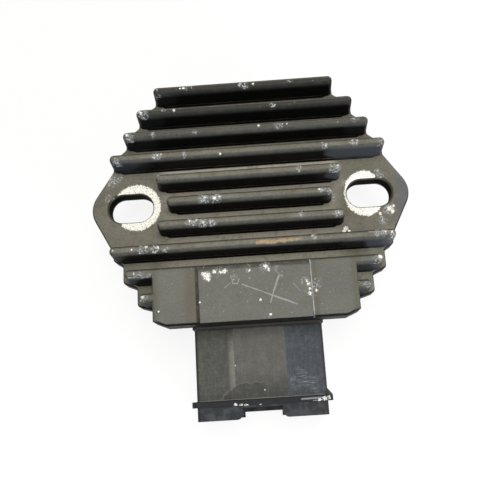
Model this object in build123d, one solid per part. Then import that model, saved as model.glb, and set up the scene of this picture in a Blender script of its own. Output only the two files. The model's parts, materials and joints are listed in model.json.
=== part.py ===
from build123d import *

import math
import os

# Voltage regulator rectifier: a finned casting with two slotted lugs, a blade socket
# that leaves through its near wall, and the electronics potted inside.
# Millimetres. X runs from lug to lug, +Y away from the socket, +Z out of the fins.
# The origin is midway between the slots, on the underside of the lugs.

# Mounting lugs and the plate that carries the fins
slot_spacing = 67.0
slot_width = 8.0
slot_length = 12.5
slot_edge_round = 0.8
slot_back_chamfer = 0.3
lug_margin = 4.75
lug_nose_radius = 7.0
plate_thick = 5.0
plate_edge_round = 0.6
plate_margin = 0.15
plate_corner_round = 1.0
foot_tuck = 1.1
far_step_lead = 0.5
near_step_reach = 2.7
near_step_margin = 1.3

# Fins, numbered from the end away from the socket
fin_pitch = 6.53
fin_row_shift = -0.7
fin_height = 7.0
fin_top_thick = 2.4
fin_draft_deg = 3.8
fin_top_round = 1.1
fin_corner_round = 1.6
fin_flare = 0.5
fin_flare_deg = 45.0
row_on_slots = 6
last_far_row = 4
first_near_row = 8
fin_lengths = {1: 50.5, 2: 60.4, 3: 68.1, 4: 75.7, 5: 50.4, 6: 44.8, 7: 50.3, 8: 76.1, 9: 68.1, 10: 60.5}

# Raised pad over the socket, with a low panel on it
pad_width = 53.8
pad_overhang = 7.78
pad_corner_x = 3.4
pad_corner_y = 1.5
pad_edge_round = 0.8
panel_width = 29.4
panel_rise = 0.4
panel_far_inset = 0.5
panel_corner_round = 1.7
panel_edge_round = 0.35

# Potting box below the plate
seat_clearance = 8.5
box_far_setback = 1.95
plate_near_inset = 0.7
box_near_inset = 2.9
box_overrun = 0.3
box_corner_round = 4.0
wall = 2.2
ceiling = 2.5
pocket_roof = 2.4
cavity_corner_round = 2.5

# Socket housing, moulded in one piece
socket_width = 35.2
socket_top = -0.2
socket_height = 16.5
socket_reach = 24.15
socket_wall = 1.6
plug_depth = 20.2
socket_floor_thick = 2.6
socket_corner_round = 1.0
flange_proud = 0.45
flange_corner_round = 1.5
keeper_thick = 1.8
keeper_margin = 1.6
rim_setback = 5.2
rim_thick = 1.6
rim_rise = 0.7
rim_ear = 1.3
ear_height = 4.0
ear_ramp = 2.6
top_panel_width = 13.9
top_panel_rise = 0.6
top_panel_bevel = 2.2
notch_width = 10.8
notch_depth = 3.0
lower_notch_depth = 1.5
notch_round = 1.6

# Blade terminals, two rows of three
blade_width = 6.3
blade_thick = 0.8
blade_columns = 3
blade_side_gap = 2.65
blade_wall_gap = 2.65
blade_tip_setback = 5.2
blade_tip_bevel = 0.6
upper_leg_inset = 4.0
lower_leg_inset = 9.0

# Electronics inside the box
substrate_side_gap = 0.8
substrate_far_gap = 1.8
substrate_near_gap = 11.5
substrate_thick = 1.0
chip_width = 10.0
chip_length = 8.0
chip_thick = 3.2
chip_pitch = 13.0
thyristor_from_legs = 12.0
diode_from_thyristor = 14.0
strap_width = 2.0
strap_thick = 0.4
strap_reach = 2.5
board_side_gap = 4.8
board_far_gap = 3.8
board_leg_gap = 3.0
board_thick = 1.6
resin_cover = 2.2
pin_side = 0.64
pin_count = 6
pin_pitch = 5.08
pin_edge_gap = 1.5
control_chip_size = (6.2, 5.0, 1.7)
control_chip_at = (-8.0, 8.0)
capacitor_radius = 3.15
capacitor_height = 5.4
capacitor_at = (9.0, 14.0)
zener_size = (4.3, 3.6, 2.3)
zener_at = (6.0, 2.0)
transistor_size = (3.0, 1.6, 1.1)
transistor_at = ((-2.0, 1.0), (-2.0, 15.0))
resistor_size = (3.2, 1.6, 0.6)
resistor_count = 5
resistor_pitch = 3.0
resistor_row = (-14.0, -1.0)
resin_recess = 0.8

# How far a cut starts outside the body, or a joined piece reaches into it
overrun = 1.0

# Clearances between pieces that are assembled
window_gap = 0.25
keeper_gap = 0.2

# Levels and places that follow from the sizes above
lug_reach = slot_spacing / 2 + slot_length / 2 + lug_margin
plate_top = plate_thick
fin_top = plate_top + fin_height
fin_spread = fin_height * math.tan(math.radians(fin_draft_deg))
fin_root_thick = fin_top_thick + 2 * fin_spread
fin_places = {row: fin_row_shift + (row_on_slots - row) * fin_pitch for row in fin_lengths}
last_row = max(fin_lengths)
pad_row = last_row - 1
pad_near = fin_places[last_row] - pad_overhang
flange_face = pad_near - flange_proud
flange_top = plate_top
socket_end = flange_face - socket_reach
socket_floor_y = socket_end + plug_depth
socket_bottom = socket_top - socket_height
socket_half = socket_width / 2
socket_middle = socket_top - socket_height / 2
rim_far = socket_end + rim_setback
blade_tip_y = socket_end + blade_tip_setback
blade_pitch = (socket_width - 2 * (socket_wall + blade_side_gap) - blade_width) / (blade_columns - 1)
blade_row_gap = socket_height - 2 * (socket_wall + blade_wall_gap)
back = socket_bottom - box_overrun
box_half = slot_spacing / 2 - seat_clearance
box_far = fin_places[1] - box_far_setback
plate_near = pad_near + plate_near_inset
box_near = pad_near + box_near_inset
wall_inside = box_near + wall
cavity_far = box_far - wall
cavity_half = box_half - wall
cavity_roof = plate_top - ceiling
pocket_top = fin_top - pocket_roof
resin_face = back + resin_recess
substrate_face = cavity_roof - substrate_thick
substrate_near = wall_inside + substrate_near_gap
upper_leg_y = substrate_near + upper_leg_inset
lower_leg_y = substrate_near + lower_leg_inset
thyristor_y = lower_leg_y + thyristor_from_legs
diode_y = thyristor_y + diode_from_thyristor
chip_face = substrate_face - chip_thick
board_face = resin_face + resin_cover + capacitor_height
board_top = board_face + board_thick
board_near = lower_leg_y + board_leg_gap
board_far = cavity_far - board_far_gap


def block(x0, x1, y0, y1, z0, z1):
    """Box between two corners."""
    corner = Location(((x0 + x1) / 2, (y0 + y1) / 2, (z0 + z1) / 2))
    return corner * Box(x1 - x0, y1 - y0, z1 - z0)


def rounded_block(x0, x1, y0, y1, z0, z1, radius):
    """Box whose upright edges are rounded."""
    face = Location(((x0 + x1) / 2, (y0 + y1) / 2, z0)) * RectangleRounded(x1 - x0, y1 - y0, radius)
    return extrude(face, z1 - z0, dir=(0, 0, 1))


def tangent_point(x, y):
    """Where the straight side from a point meets the lug's round nose."""
    centre_x = lug_reach - lug_nose_radius
    away = math.hypot(x - centre_x, y)
    lean = math.atan2(abs(y), x - centre_x) - math.acos(lug_nose_radius / away)
    rise = math.copysign(lug_nose_radius * math.sin(lean), y)
    return centre_x + lug_nose_radius * math.cos(lean), rise


def fin_corner(row, out, along):
    """Point beside a fin's end, the given distances out past it and along from its middle line."""
    return fin_lengths[row] / 2 + fin_spread + plate_margin + out, fin_places[row] + along


def plate_outline():
    """Plate seen from above: stepped along the fin ends, with a round-nosed lug each side."""
    half = fin_root_thick / 2 + plate_margin
    far_side = []
    for row in range(1, last_far_row + 1):
        far_side += [fin_corner(row, 0, half + far_step_lead), fin_corner(row, 0, -foot_tuck)]
    far_side.insert(0, (0, far_side[0][1]))
    far_side.append(tangent_point(*far_side[-1]))
    near_side = [fin_corner(first_near_row, 0, foot_tuck), fin_corner(first_near_row, 0, -foot_tuck)]
    near_side.insert(0, tangent_point(*near_side[0]))
    for row in range(first_near_row + 1, last_row + 1):
        x = fin_corner(row, near_step_margin, 0)[0]
        near_side += [(x, fin_places[row - 1] - near_step_reach), (x, fin_places[row] - foot_tuck)]
    pad_half = pad_width / 2
    near_side += [(pad_half, fin_places[last_row] - near_step_reach), (pad_half, plate_near + pad_corner_y)]
    near_side += [(pad_half - pad_corner_x, plate_near), (0, plate_near)]
    side = Polyline(*far_side)
    nose = ThreePointArc(far_side[-1], (lug_reach, 0), near_side[0])
    rest = Polyline(*near_side)
    close = Line(near_side[-1], far_side[0])
    half_face = make_face([*side.edges(), *nose.edges(), *rest.edges(), *close.edges()])
    corners = half_face.vertices().filter_by(lambda corner: corner.X > overrun)
    corners = corners.filter_by(lambda corner: abs(corner.Y) > lug_nose_radius)
    half_face = fillet(corners, plate_corner_round)
    return half_face + mirror(half_face, Plane.YZ)


def plate():
    """The flat plate with its lugs, its upper edge rounded."""
    body = extrude(plate_outline(), plate_thick, dir=(0, 0, 1))
    top_edges = body.faces().sort_by(Axis.Z)[-1].edges()
    outer = top_edges.filter_by(lambda edge: edge.center().Y > fin_places[last_row] - near_step_reach)
    return fillet(outer, plate_edge_round)


def fin(row):
    """One drafted fin with rounded ends, a rounded crest and a flared foot along its sides."""
    length = fin_lengths[row] + 2 * fin_spread
    foot = Location((0, fin_places[row], plate_top)) * RectangleRounded(length, fin_root_thick, fin_corner_round)
    blade = extrude(foot, fin_height, dir=(0, 0, 1), taper=fin_draft_deg)
    crest = blade.faces().sort_by(Axis.Z)[-1].edges()
    root = extrude(foot, overrun, dir=(0, 0, -1))
    wide = fin_root_thick + 2 * fin_flare
    short = length - 2 * fin_corner_round
    spread = Location((0, fin_places[row], plate_top)) * RectangleRounded(short, wide, fin_corner_round)
    flare = extrude(spread, fin_flare, dir=(0, 0, 1), taper=fin_flare_deg)
    return fillet(crest, fin_top_round) + root + flare


def pad():
    """Raised block over the socket, at the height of the fins."""
    half = pad_width / 2
    far = fin_places[pad_row]
    outline = Polyline(
        (-half, far),
        (half, far),
        (half, pad_near + pad_corner_y),
        (half - pad_corner_x, pad_near),
        (-half + pad_corner_x, pad_near),
        (-half, pad_near + pad_corner_y),
        close=True,
    )
    face = Location((0, 0, plate_top - overrun)) * make_face(outline.edges())
    upper = extrude(face, fin_height + overrun, dir=(0, 0, 1))
    # Below the plate's surface the pad stands back, level with the plate's near edge.
    upper -= block(-half, half, pad_near, plate_near, plate_top - overrun, plate_top)
    top_edges = upper.faces().sort_by(Axis.Z)[-1].edges()
    outer = top_edges.filter_by(lambda edge: edge.center().Y < far - overrun)
    return fillet(outer, pad_edge_round)


def panel():
    """Low bare panel on the pad, open towards the socket."""
    far = fin_places[pad_row] + fin_top_thick / 2 - panel_far_inset
    half = panel_width / 2
    slab = block(-half, half, pad_near, far, fin_top - overrun, fin_top + panel_rise)
    upright = slab.edges().filter_by(Axis.Z).sort_by(Axis.Y)[-2:]
    slab = fillet(upright, panel_corner_round)
    return fillet(slab.faces().sort_by(Axis.Z)[-1].edges(), panel_edge_round)


def slot_cut(side):
    """Through slot in one lug."""
    through = 2 * plate_thick
    face = Location((side * slot_spacing / 2, 0, -overrun)) * SlotOverall(slot_length, slot_width)
    return extrude(face, through, dir=(0, 0, 1))


def slot_edges(body, level):
    """The slot edges of a body that lie at a level."""
    reach = slot_length / 2 + overrun
    near_slots = body.edges().filter_by(lambda edge: abs(abs(edge.center().X) - slot_spacing / 2) < reach)
    inside = near_slots.filter_by(lambda edge: abs(edge.center().Y) < slot_width / 2 + fin_top_round)
    return inside.filter_by(lambda edge: abs(edge.center().Z - level) < plate_margin)


def window():
    """Opening in the near wall, open to the back, that the socket's flange fills."""
    half = socket_half + window_gap
    top = flange_top + window_gap
    cut = block(-half, half, pad_near - overrun, wall_inside + overrun, back - overrun, top)
    upright = cut.edges().filter_by(Axis.Y).sort_by(Axis.Z)[-2:]
    return fillet(upright, flange_corner_round + window_gap)


def cavity():
    """Hollow that holds the electronics: the box, and the pocket under the pad."""
    main = rounded_block(
        -cavity_half, cavity_half, wall_inside, cavity_far, back, cavity_roof, cavity_corner_round
    )
    pocket_far = fin_places[pad_row] - fin_root_thick / 2
    pocket = rounded_block(
        -cavity_half, cavity_half, wall_inside, pocket_far, cavity_roof - overrun, pocket_top, cavity_corner_round
    )
    return main + pocket


def heat_sink():
    """The casting: plate, lugs, fins, pad, panel and potting box."""
    slotted = plate() - slot_cut(-1) - slot_cut(1)
    slotted = fillet(slot_edges(slotted, plate_top), slot_edge_round)
    body = chamfer(slot_edges(slotted, 0), slot_back_chamfer)
    body += pad()
    for row in fin_lengths:
        body += fin(row)
    body += panel()
    body += rounded_block(-box_half, box_half, box_near, box_far, back, overrun, box_corner_round)
    return body - cavity() - window()


def socket_shell():
    """Outside of the socket from the flange to its mouth, with rim, ears and top panel."""
    shell = block(-socket_half, socket_half, socket_end, flange_face, socket_bottom, socket_top)
    shell = fillet(shell.edges().filter_by(Axis.Y), socket_corner_round)
    rim = block(
        -socket_half - rim_rise,
        socket_half + rim_rise,
        rim_far - rim_thick,
        rim_far,
        socket_bottom,
        socket_top + rim_rise,
    )
    rim = fillet(rim.edges().filter_by(Axis.Y).sort_by(Axis.Z)[-2:], socket_corner_round)
    shell += fillet(rim.faces().sort_by(Axis.Z)[-1].edges().filter_by(Axis.X), rim_rise / 2)
    shell += ear(-1, 0)
    shell += ear(1, ear_ramp)
    half = top_panel_width / 2
    wide = half + top_panel_bevel
    rise = top_panel_rise
    bevelled = Polyline(
        (-wide, -rise), (-wide, 0), (-half, rise), (half, rise), (wide, 0), (wide, -rise), close=True
    )
    profile = Plane.XZ * make_face(bevelled.edges())
    strip = extrude(profile, rim_far - flange_face, dir=(0, 1, 0))
    return shell + Location((0, flange_face, socket_top)) * strip


def ear(side, ramp):
    """Small stop at one end of the rim, with a ramp behind it where the plug's lock rides up."""
    inner = side * (socket_half - socket_wall / 2)
    outer = side * (socket_half + rim_ear)
    near = rim_far - rim_thick
    points = [(inner, near), (outer, near), (outer, rim_far), (inner, rim_far + ramp)]
    face = make_face(Polyline(*points, close=True).edges())
    top = socket_top + rim_rise - socket_corner_round
    return Location((0, 0, top)) * extrude(face, ear_height, dir=(0, 0, -1))


def socket_flange():
    """Block that fills the casting's window, with the keeper that holds it from inside."""
    flange = block(-socket_half, socket_half, flange_face, wall_inside + keeper_gap, back, flange_top)
    flange = fillet(flange.edges().filter_by(Axis.Y).sort_by(Axis.Z)[-2:], flange_corner_round)
    keeper_half = socket_half + keeper_margin
    near = wall_inside + keeper_gap
    keeper = block(-keeper_half, keeper_half, near, near + keeper_thick, back, flange_top + keeper_margin)
    return flange + keeper


def socket_hollows():
    """The plug's space, the hollow behind the socket floor and the two notches in the mouth."""
    outside = socket_end - overrun
    inner = socket_half - socket_wall
    low = socket_bottom + socket_wall
    high = socket_top - socket_wall
    plug_space = block(-inner, inner, outside, socket_floor_y, low, high)
    plug_space = fillet(plug_space.edges().filter_by(Axis.Y), socket_corner_round)
    rear_far = wall_inside + keeper_gap + keeper_thick
    rear_near = socket_floor_y + socket_floor_thick
    rear = block(-inner, inner, rear_near, rear_far, low, high)
    half = notch_width / 2
    notch = block(-half, half, outside, socket_end + notch_depth, high - overrun, socket_top + overrun)
    lower_end = socket_end + lower_notch_depth
    lower_notch = block(-half, half, outside, lower_end, socket_bottom - overrun, low + overrun)
    return plug_space + rear + notch + lower_notch


def notch_corners(body):
    """The two corners where the upper notch meets the mouth, to be rounded."""
    upright = body.edges().filter_by(Axis.Z).filter_by(lambda edge: edge.center().Z > socket_middle)
    at_mouth = upright.filter_by(lambda edge: abs(edge.center().Y - socket_end) < plate_margin)
    return at_mouth.filter_by(lambda edge: abs(abs(edge.center().X) - notch_width / 2) < plate_margin)


def connector_housing(blades):
    """The moulded socket, with a slit through its floor for each blade."""
    body = socket_shell() + socket_flange() - socket_hollows()
    body = fillet(notch_corners(body), notch_round)
    for blade in blades.values():
        body -= blade
    return body


def blade(column, upper):
    """Flat blade with a bevelled tip; its tail runs back and up to the substrate."""
    x = (column - (blade_columns - 1) / 2) * blade_pitch
    z = socket_middle + (blade_row_gap / 2 if upper else -blade_row_gap / 2)
    leg_y = upper_leg_y if upper else lower_leg_y
    half = blade_thick / 2
    side_view = Polyline(
        (blade_tip_y, z),
        (blade_tip_y + blade_tip_bevel, z - half),
        (leg_y, z - half),
        (leg_y, substrate_face),
        (leg_y - blade_thick, substrate_face),
        (leg_y - blade_thick, z + half),
        (blade_tip_y + blade_tip_bevel, z + half),
        close=True,
    )
    face = Plane.YZ * make_face(side_view.edges())
    return Location((x, 0, 0)) * extrude(face, blade_width / 2, both=True)


def blade_set():
    """The six terminals by name: three phases above, battery, ground and sense below."""
    upper = ("phase_1_blade", "phase_2_blade", "phase_3_blade")
    lower = ("battery_blade", "ground_blade", "sense_blade")
    blades = {name: blade(column, True) for column, name in enumerate(upper)}
    blades.update({name: blade(column, False) for column, name in enumerate(lower)})
    return blades


def hung_block(size, x, y, top):
    """Small block that hangs under a surface."""
    width, length, thick = size
    return block(x - width / 2, x + width / 2, y - length / 2, y + length / 2, top - thick, top)


def chip_x(number):
    """Place across the substrate of a power device."""
    return (number - 1) * chip_pitch


def power_device(number, y):
    """Moulded power device on the substrate."""
    return hung_block((chip_width, chip_length, chip_thick), chip_x(number), y, substrate_face)


def strap(number, y):
    """Copper bridge from the face of a power device to the substrate beside it."""
    edge = y - chip_length / 2
    outer = edge - strap_reach
    side_view = Polyline(
        (y, chip_face),
        (edge - strap_thick, chip_face),
        (outer, substrate_face - strap_thick),
        (outer, substrate_face),
        (outer - strap_reach / 2, substrate_face),
        (outer - strap_reach / 2, substrate_face - 2 * strap_thick),
        (outer - strap_thick, substrate_face - 2 * strap_thick),
        (edge - strap_thick, chip_face - strap_thick),
        (y, chip_face - strap_thick),
        close=True,
    )
    face = Plane.YZ * make_face(side_view.edges())
    return Location((chip_x(number), 0, 0)) * extrude(face, strap_width / 2, both=True)


def electronics():
    """Every piece sealed in the resin, by name."""
    half = cavity_half - substrate_side_gap
    far = cavity_far - substrate_far_gap
    pieces = {}
    pieces["substrate"] = block(-half, half, substrate_near, far, substrate_face, cavity_roof)
    for number in range(3):
        pieces[f"thyristor_{number + 1}"] = power_device(number, thyristor_y)
        pieces[f"rectifier_diode_{number + 1}"] = power_device(number, diode_y)
    straps = [strap(number, y) for y in (thyristor_y, diode_y) for number in range(3)]
    pieces["device_straps"] = Compound(children=straps)
    half = cavity_half - board_side_gap
    pieces["control_board"] = block(-half, half, board_near, board_far, board_face, board_top)
    pin = (pin_side, pin_side, substrate_face - board_top)
    row_y = board_far - pin_edge_gap
    first = -(pin_count - 1) / 2 * pin_pitch
    pins = [hung_block(pin, first + n * pin_pitch, row_y, substrate_face) for n in range(pin_count)]
    pieces["link_pins"] = Compound(children=pins)
    pieces["control_chip"] = hung_block(control_chip_size, *control_chip_at, board_face)
    middle = Location((*capacitor_at, board_face - capacitor_height / 2))
    pieces["capacitor"] = middle * Cylinder(capacitor_radius, capacitor_height)
    pieces["zener_diode"] = hung_block(zener_size, *zener_at, board_face)
    transistors = [hung_block(transistor_size, *place, board_face) for place in transistor_at]
    pieces["driver_transistors"] = Compound(children=transistors)
    x, y = resistor_row
    resistors = [
        hung_block(resistor_size, x, y + number * resistor_pitch, board_face)
        for number in range(resistor_count)
    ]
    pieces["resistors"] = Compound(children=resistors)
    return pieces


def potting_resin(housing, blades, inside):
    """Resin that fills the cavity round every sealed piece, a little short of the box's rim."""
    fill = cavity()
    inner = socket_half - socket_wall
    low = socket_bottom + socket_wall
    rear_near = socket_floor_y + socket_floor_thick
    fill += block(-inner, inner, rear_near, wall_inside + overrun, low, socket_top - socket_wall)
    fill -= block(-box_half, box_half, pad_near - overrun, box_far, back - overrun, resin_face)
    for piece in (housing, *blades.values(), *inside.values()):
        for solid in piece.solids():
            fill -= solid
    return fill


def write_parts():
    """Builds every piece and writes one file for each."""
    blades = blade_set()
    housing = connector_housing(blades)
    inside = electronics()
    pieces = {"heat_sink": heat_sink(), "connector_housing": housing, **blades, **inside}
    pieces["potting_resin"] = potting_resin(housing, blades, inside)
    os.makedirs("parts", exist_ok=True)
    for name, piece in pieces.items():
        export_step(piece, f"parts/{name}.step")
        print(name, len(piece.solids()), round(sum(solid.volume for solid in piece.solids())))


write_parts()
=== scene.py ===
import json
import math
from functools import partial
from types import SimpleNamespace

import bpy
from mathutils import Euler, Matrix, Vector


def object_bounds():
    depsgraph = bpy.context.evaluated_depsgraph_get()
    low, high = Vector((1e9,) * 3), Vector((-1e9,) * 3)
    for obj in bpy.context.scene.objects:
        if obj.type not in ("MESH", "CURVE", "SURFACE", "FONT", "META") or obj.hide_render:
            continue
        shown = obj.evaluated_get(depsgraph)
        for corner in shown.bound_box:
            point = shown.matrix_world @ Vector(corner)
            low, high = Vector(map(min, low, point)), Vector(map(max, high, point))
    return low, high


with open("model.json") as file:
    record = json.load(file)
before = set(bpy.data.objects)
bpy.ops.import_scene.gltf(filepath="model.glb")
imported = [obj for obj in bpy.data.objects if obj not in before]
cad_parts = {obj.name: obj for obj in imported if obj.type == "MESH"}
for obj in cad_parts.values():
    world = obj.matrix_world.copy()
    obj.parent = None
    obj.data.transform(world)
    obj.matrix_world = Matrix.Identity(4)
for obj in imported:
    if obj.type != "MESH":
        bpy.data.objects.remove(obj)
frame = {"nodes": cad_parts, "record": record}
cadBox = [list(corner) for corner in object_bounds()]
nodes = frame["nodes"]
mm = 0.001
print("frame loaded:", len(nodes), "nodes")

# settings that many nodes share
smooth = {"interpolation_type": "SMOOTHSTEP"}
plus, less, times, most, least, timesPlus, absolute = ({"operation": name} for name in (
    "ADD", "SUBTRACT", "MULTIPLY", "MAXIMUM", "MINIMUM", "MULTIPLY_ADD", "ABSOLUTE"))
scaled, apart, dotted = ({"operation": name} for name in ("SCALE", "DISTANCE", "DOT_PRODUCT"))
colours, numbers = {"data_type": "RGBA"}, {"data_type": "FLOAT"}


def linear(hexColour):
    # sRGB hex to the linear values that the shaders take
    channels = [int(hexColour[i:i + 2], 16) / 255 for i in (1, 3, 5)]
    return [c / 12.92 if c <= 0.04045 else ((c + 0.055) / 1.055) ** 2.4 for c in channels] + [1.0]


def addNode(tree, kind, settings, *values, **named):
    # one node with its settings; values go to its live sockets in order, named ones to the sockets so named,
    # and a value that is itself a socket is linked
    node = tree.nodes.new("ShaderNode" + kind)
    for key, value in settings.items():
        setattr(node, key, value)
    live = [socket for socket in node.inputs if socket.enabled]
    byName = [(node.inputs[key.replace("_", " ")], value) for key, value in named.items()]
    for socket, value in list(zip(live, values)) + byName:
        if isinstance(value, bpy.types.NodeSocket):
            tree.links.new(value, socket)
        else:
            socket.default_value = linear(value) if isinstance(value, str) else value
    return next((socket for socket in node.outputs if socket.enabled), node)


def startTree(owner):
    # an empty node tree on a material or world, and the function that adds nodes to it
    owner.use_nodes = True
    owner.node_tree.nodes.clear()
    return partial(addNode, owner.node_tree)


def startMaterial(name):
    material = bpy.data.materials.new(name)
    add = startTree(material)
    place = add("TexCoord", {}).node.outputs["Object"]
    point = add("VectorMath", scaled, place, Scale=1 / mm)  # millimetres
    return material, add, point


def finishMaterial(add, settings, height, depth, **linked):
    # principled surface; fixed numbers go to its own sockets, and the bump's depth is in millimetres
    bump = add("Bump", {}, Strength=1.0, Distance=depth * mm, Height=height)
    add("OutputMaterial", {}, Surface=add("BsdfPrincipled", {}, Normal=bump, **settings, **linked))


def pushedPoint(add, point, lump, reach):
    # the point pushed about by noise, so that a shape measured from it gets an uneven outline
    swing = add("TexNoise", {}, Vector=point, Scale=1 / lump, Detail=3.0).node.outputs["Color"]
    centred = add("VectorMath", less, swing, (0.5, 0.5, 0.5))
    return add("VectorMath", plus, point, add("VectorMath", scaled, centred, Scale=2 * reach))


def spots(add, point, marks):
    # round marks (x, y, z, radius): one at a mark's middle, falling to nothing at its radius
    total = 0.0
    for x, y, z, radius in marks:
        away = add("VectorMath", apart, point, (x, y, z))
        total = add("Math", most, total, add("MapRange", {}, away, 0.0, radius, 1.0, 0.0))
    return total


def strokes(add, point, lines):
    # straight marks (start, end, half width): one on the segment, falling to nothing at the half width
    total = 0.0
    for start, end, halfWidth in lines:
        run = Vector(end) - Vector(start)
        toPoint = add("VectorMath", less, point, start)
        share = add("VectorMath", dotted, toPoint, tuple(run / run.length_squared))
        share = add("Math", {**plus, "use_clamp": True}, share, 0.0)
        foot = add("VectorMath", scaled, tuple(run), Scale=share)
        away = add("VectorMath", apart, toPoint, foot)
        total = add("Math", most, total, add("MapRange", {}, away, 0.0, halfWidth, 1.0, 0.0))
    return total


def jagged(add, field, grit, reach, level, soft):
    # a field cut off at a level that noise moves about, so that its edge tears and breaks into islands
    marksBegin = 0.15  # below this the field fades out, so that noise alone makes no island
    moved = add("Math", timesPlus, grit, reach, field)
    cut = add("MapRange", smooth, moved, level + reach / 2 - soft, level + reach / 2 + soft)
    return add("Math", times, cut, add("MapRange", smooth, field, 0.0, marksBegin))


def band(add, value, low, high, soft):
    # one between two levels, fading outside them
    rise = add("MapRange", smooth, value, low - soft, low + soft)
    return add("Math", times, rise, add("MapRange", smooth, value, high - soft, high + soft, 1.0, 0.0))


# The casting's own sizes in millimetres, which its paint and wear are placed by
casting = {"finPitch": 6.53, "finShift": -0.7, "rowOnSlots": 6, "crestLevel": 12.0, "plateLevel": 5.0,
           "panelHalf": 14.7, "padFar": -19.1, "padHalf": 26.9,
           "slotInner": 26.0, "slotOuter": 41.0, "slotHalf": 4.9}

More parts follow.
